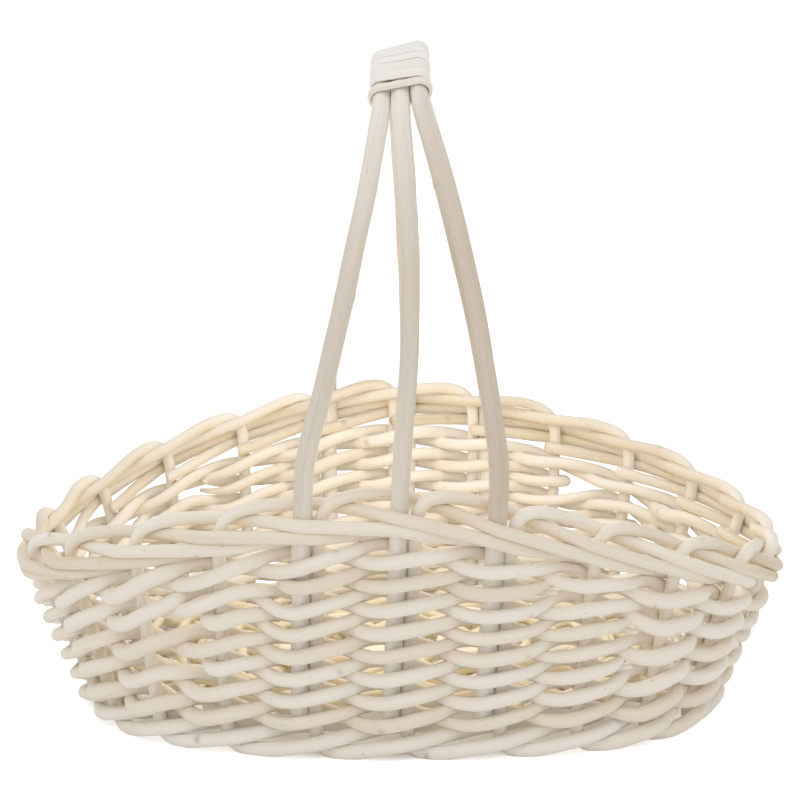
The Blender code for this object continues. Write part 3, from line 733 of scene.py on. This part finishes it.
# The handle: three bows pushed down beside stakes, wrapped with a skein in the middle. Bulges and rear bends
# are those of the left, middle and right bow, and roll turns the three about the line of the grip.
bows = {
    "top": 0.3345, "foot": 0.0165, "spring": 0.150, "crown": 0.89, "roll": math.radians(15), "steps": 28,
    "bulges": (0.002, 0.0042, 0.0035), "rearBends": (0.0, 0.012, 0.0), "bend": 0.009, "step": 0.0014,
}


# A bow: the wall's line at both ends, and between them half an ellipse that draws the bows together at its
# top. With s as the share that it is drawn in, it bulges to the right by 4s(1 - s), and the rear half of the
# middle one bends to the left by s sqrt(1 - s).
def bowPath(k):
    feet, springs = [], []
    for station, along in ((front + k, -bowAside), (back - k, -bowAside)):
        heights = np.array([bows["foot"], bows["spring"] / 2, float(rimHeight(station))])
        feet.append(wallPoint(station, heights, 0, along))
        springs.append(wallPoint(station, bows["spring"], 0, along))
    angle = math.pi * np.arange(bows["steps"] + 1) / bows["steps"]
    share = np.minimum(1, np.sin(angle) / bows["crown"])
    beside = k * (2 * rods["bow"] + wall["gap"])
    wide = springs[0] + (springs[1] - springs[0]) * ((1 - np.cos(angle)) / 2)[:, None]
    bulge = bows["bulges"][k + 1] * 4 * share * (1 - share)
    rearBend = bows["rearBends"][k + 1] * share * np.sqrt(1 - share) * (angle > math.pi / 2)
    depth = wallPoint(front, bows["spring"])[1]
    x = wide[:, 0] * (1 - share) + beside * math.cos(bows["roll"]) * share + bulge - rearBend
    y = wide[:, 1] * (1 - share) + depth * np.cos(angle) * share
    rise = (bows["top"] - bows["spring"]) * np.sin(angle)
    z = bows["spring"] + rise + beside * math.sin(bows["roll"]) * share
    return np.concatenate([feet[0], np.stack([x, y, z], 1), feet[1][::-1]])


# The bows are painted darker down their sides as shade: how much for each bow, most for the right one, and
# where, at places given as shares of the length
bowSize = {
    "butt": 0.0046, "tip": 0.00445, "sway": 0.0004, "uneven": 0.02, "sides": 28, "knots": (0.10, 0.24),
    "tone": -0.22, "vary": 0.02, "legShade": (0.40, 0.42, 0.70), "seed": 600,
    "legShadePlaces": (0.10, 0.15, 0.29, 0.45, 0.55, 0.71, 0.85, 0.90),
    "legShadeShares": (0.0, 1.0, 1.0, 0.0, 0.0, 1.0, 1.0, 0.0),
}
bowLines = [rodLine(bowPath(k), bows["step"], bows["bend"]) for k in bowPlaces]
for i, (line, legShade) in enumerate(zip(bowLines, bowSize["legShade"])):
    size = bowSize | {"paintedShadeRun": (bowSize["legShadePlaces"], legShade * np.array(bowSize["legShadeShares"]))}
    name, node = f"HandleBow{i + 1}", f"handle_bow_{i + 1}"
    willowRod(name, node, line, size, (1.0, 0.0, 0.0), "handle_willow", bowSize["seed"] + i)


# The middle of the outer bows at each depth y, half their distance, and the directions across them, above
# them and along the grip
def gripFrame(y):
    left, right = (np.stack([np.interp(y, line[:, 1], line[:, i]) for i in range(3)], 1)
                   for line in (bowLines[0], bowLines[2]))
    centre = (left + right) / 2
    forward = unit(np.gradient(centre, y, axis=0))
    across = right - left
    across = unit(across - forward * (across * forward).sum(1, keepdims=True))
    return centre, np.linalg.norm(right - left, axis=1) / 2, across, np.cross(across, forward), forward


# Once round the bows as a stadium: up round the right end, over the top, down round the left end and back
# below. A share of the turn gives the place across the bows, and the direction out of them.
def stadium(share, straight, radius):
    bend, flat = math.pi * radius, 2 * straight
    way = (share % 1) * 2 * (bend + flat)
    part = [way < bend, way < bend + flat, way < 2 * bend + flat]
    rightTurn, leftTurn = way / radius - math.pi / 2, (way - flat) / radius - math.pi / 2
    turn = np.select(part, [rightTurn, math.pi / 2, leftTurn], 3 * math.pi / 2)
    slide = np.select(part, [straight, straight + bend - way, -straight], way - 2 * bend - flat - straight)
    return slide, np.cos(turn), np.sin(turn)


# The skein's section is given by shares of its half width and of its thickness, and closeUp widens it until
# its turns touch. Wander says how far, over how many turns and from which phase each of two sines moves it
# along the grip.
skein = {
    "length": 0.103, "turns": 12, "perTurn": 84, "start": 0.77, "width": 0.0075, "closeUp": 1.17,
    "thickness": 0.0009, "swell": 1.15, "clearance": 0.00036, "wander": ((0.00035, 3.3, 1), (0.0002, 1.7, 0)),
    "uneven": 0.00012, "unevenWaves": (0.4, 2.5), "widthWave": 0.01, "widthWaves": (0.8, 4),
    "tone": 0.10, "toneWave": 0.16, "toneWaves": (0.7, 5), "edgeTone": 0.06, "seed": 700,
    "edgeShares": (-1, -0.93, -0.6, -0.2, 0.2, 0.6, 0.93, 1, 0.93, 0.5, 0, -0.5, -0.93),
    "thickShares": (0.26, 0.40, 0.47, 0.5, 0.5, 0.47, 0.40, 0.26, -0.36, -0.5, -0.5, -0.5, -0.36),
}


# A flat split strip wound as a helix round the bows: thicker in the middle, with rounded edges
def makeSkein():
    rng = np.random.default_rng(skein["seed"])
    share = np.arange(skein["turns"] * skein["perTurn"] + 1) / skein["perTurn"]
    y = -skein["length"] / 2 + skein["length"] * share / skein["turns"]
    y = y + sum(far * np.sin(2 * math.pi * share / turns + phase) for far, turns, phase in skein["wander"])
    centre, spread, across, above, forward = gripFrame(y)
    radius = rods["bow"] + skein["clearance"] + skein["thickness"] / 2
    slide, outX, outZ = stadium(share + skein["start"], spread.mean(), radius)
    out = across * outX[:, None] + above * outZ[:, None]
    lay = radius + skein["uneven"] * wave(share, rng, *skein["unevenWaves"])
    middle = centre + across * slide[:, None] + out * lay[:, None]
    edge, high = np.array(skein["edgeShares"]), np.array(skein["thickShares"])
    halfWidth = skein["width"] / 2 * skein["closeUp"] / np.abs(forward[:, 1])
    halfWidth = halfWidth * (1 + skein["widthWave"] * wave(share, rng, *skein["widthWaves"]))
    flat = edge * halfWidth[:, None]
    thick = np.broadcast_to(high * skein["thickness"] * skein["swell"], flat.shape)
    rings = middle[:, None] + forward[:, None] * flat[:, :, None] + out[:, None] * thick[:, :, None]
    laid = laidStraight(lengthsAlong(middle), np.stack([flat, thick], 2))
    tone = skein["tone"] + skein["toneWave"] * wave(share, rng, *skein["toneWaves"])
    tone = tone[:, None] + skein["edgeTone"] * np.abs(edge) ** 4
    mesh = meshFromRings("GripSkein", rings, {"rodSpace": laid, "tone": tone, "knot": 0 * tone})
    place("GripSkein", mesh, "grip_wrap", "skein_willow")


makeSkein()

# A collar is a split rod bound flat round the bows, tucked against each end of the skein. Its ring has a hair
# of slope, so that gripFrame finds its direction.
collar = {
    "tuck": 0.0007, "points": 90, "slope": 1e-6, "butt": 1.0, "tip": 1.0, "section": (0.0028, 0.0011),
    "tone": 0.34, "vary": 0.05, "uneven": 0.03, "sides": 18, "knots": (0.03, 0.06), "seed": 720,
}
for name, node, sign in (("CollarFront", "collar_front", -1), ("CollarBack", "collar_back", 1)):
    count = np.arange(collar["points"])
    y = sign * ((skein["length"] + skein["width"]) / 2 - collar["tuck"]) + collar["slope"] * count
    centre, spread, across, above, forward = gripFrame(y)
    radius = rods["bow"] + collar["section"][1]
    slide, outX, outZ = stadium(count / collar["points"], spread[0], radius)
    ring = centre + across * (slide + outX * radius)[:, None] + above * (outZ * radius)[:, None]
    willowRod(name, node, ring, collar, forward[0], "skein_willow", collar["seed"] + sign, closed=True)
print("handle made")

# The camera is fitted to the photograph: its focal length is in pixels of a picture of that width
camera = {
    "target": (0.0, 0.0, 0.1557), "distance": 1.24, "elevation": 10.7,
    "focalPixels": 2365.0, "imagePixels": 800, "sensorWidth": 36.0,
}
# Soft studio light: a pale world, a large lamp up on the left, a fill on the right and one overhead. A weak
# lamp in the bowl lifts the shade inside it.
lamps = {
    "KeyLamp": {"at": (-1.0, -2.2, 1.7), "size": 2.2, "watts": 7.2},
    "FillLamp": {"at": (1.3, -2.2, 1.2), "size": 1.8, "watts": 2.0},
    "TopLamp": {"at": (0.0, 0.0, 2.4), "size": 2.0, "watts": 5.4},
}
bowlLamp = {"at": (0.0, -0.02, 0.145), "size": 0.09, "watts": 0.38, "colour": (1.0, 0.93, 0.81)}
worldLight = 0.69
floor = {
    "half": 4.0, "colour": "#FCFCFB", "roughness": 0.9, "specular": 0.0,
    "glow": 0.56, "glowFrom": 0.97, "glowFull": 1.07,
}


# 1 for a ray from the camera, off gloss or through glass, and 0 for light on its way to the basket
def backdropRays(tree):
    path = addNode(tree, "ShaderNodeLightPath")
    seen = addNode(tree, "ShaderNodeMath", {
        0: path.outputs["Is Camera Ray"], 1: path.outputs["Is Glossy Ray"],
    }, operation="ADD")
    seen = addNode(tree, "ShaderNodeMath", {
        0: seen.outputs[0], 1: path.outputs["Is Transmission Ray"],
    }, operation="ADD", use_clamp=True)
    return seen.outputs[0]


# The floor: a wide sheet of plain white paper, matt, which looks white to the camera and still takes the
# basket's shadow. Its glow leaves out the ground under the foot, found by the length of the position over the
# foot's half sizes, so that the shade under the basket stays.
def makeFloor():
    half = floor["half"]
    corners = [(-half, -half, 0), (half, -half, 0), (half, half, 0), (-half, half, 0)]
    mesh = bpy.data.meshes.new("Floor")
    mesh.from_pydata(corners, [], [(0, 1, 2, 3)])
    made = bpy.data.materials.new("WhitePaperFloor")
    made.use_nodes = True
    tree = made.node_tree
    shader = tree.nodes["Principled BSDF"]
    shader.inputs["Base Color"].default_value = linear(floor["colour"])
    shader.inputs["Roughness"].default_value = floor["roughness"]
    shader.inputs["Specular IOR Level"].default_value = floor["specular"]
    shader.inputs["Emission Color"].default_value = (1, 1, 1, 1)
    spot = addNode(tree, "ShaderNodeNewGeometry").outputs["Position"]
    scaled = addNode(tree, "ShaderNodeMapping", {
        "Vector": spot, "Scale": (1 / wall["footHalf"][0], 1 / wall["footHalf"][1], 0),
    })
    away = addNode(tree, "ShaderNodeVectorMath", {0: scaled.outputs["Vector"]}, operation="LENGTH")
    clear = addNode(tree, "ShaderNodeMapRange", {
        "Value": away.outputs["Value"], "From Min": floor["glowFrom"], "From Max": floor["glowFull"],
    })
    seen = addNode(tree, "ShaderNodeMath", {
        0: backdropRays(tree), 1: clear.outputs["Result"],
    }, operation="MULTIPLY")
    glow = addNode(tree, "ShaderNodeMapRange", {
        "Value": seen.outputs[0], "To Min": 0.0, "To Max": floor["glow"],
    })
    tree.links.new(glow.outputs["Result"], shader.inputs["Emission Strength"])
    mesh.materials.append(made)
    sheet = bpy.data.objects.new("Floor", mesh)
    bpy.context.scene.collection.objects.link(sheet)


# The world: white where it is seen, and paler where it lights the basket
def makeWorld():
    world = bpy.data.worlds.new("StudioWhite")
    world.use_nodes = True
    tree = world.node_tree
    tree.nodes.clear()
    strength = addNode(tree, "ShaderNodeMapRange", {
        "Value": backdropRays(tree), "To Min": worldLight, "To Max": 1.0,
    })
    sky = addNode(tree, "ShaderNodeBackground", {
        "Color": (1, 1, 1, 1), "Strength": strength.outputs["Result"],
    })
    addNode(tree, "ShaderNodeOutputWorld", {"Surface": sky.outputs["Background"]})
    bpy.context.scene.world = world


def aim(thing, at, target):
    thing.location = at
    thing.rotation_euler = (Vector(target) - Vector(at)).to_track_quat("-Z", "Y").to_euler()
    bpy.context.scene.collection.objects.link(thing)


def makeLamps():
    for name, lamp in lamps.items():
        light = bpy.data.lights.new(name, "AREA")
        light.shape = "DISK"
        light.size = lamp["size"]
        light.energy = lamp["watts"]
        aim(bpy.data.objects.new(name, light), lamp["at"], camera["target"])
    glow = bpy.data.lights.new("BowlLamp", "POINT")
    glow.shadow_soft_size = bowlLamp["size"]
    glow.energy = bowlLamp["watts"]
    glow.color = bowlLamp["colour"]
    inside = bpy.data.objects.new("BowlLamp", glow)
    inside.location = bowlLamp["at"]
    inside.visible_camera = False
    bpy.context.scene.collection.objects.link(inside)


def makeCamera():
    lens = bpy.data.cameras.new("PhotoCamera")
    lens.sensor_width = camera["sensorWidth"]
    lens.lens = lens.sensor_width * camera["focalPixels"] / camera["imagePixels"]
    tilt = math.radians(camera["elevation"])
    away = Vector((0, -math.cos(tilt), math.sin(tilt))) * camera["distance"]
    seat = bpy.data.objects.new("PhotoCamera", lens)
    aim(seat, Vector(camera["target"]) + away, camera["target"])
    bpy.context.scene.camera = seat


makeFloor()
makeWorld()
makeLamps()
makeCamera()
bpy.context.scene.view_settings.view_transform = "Standard"
print("studio made")
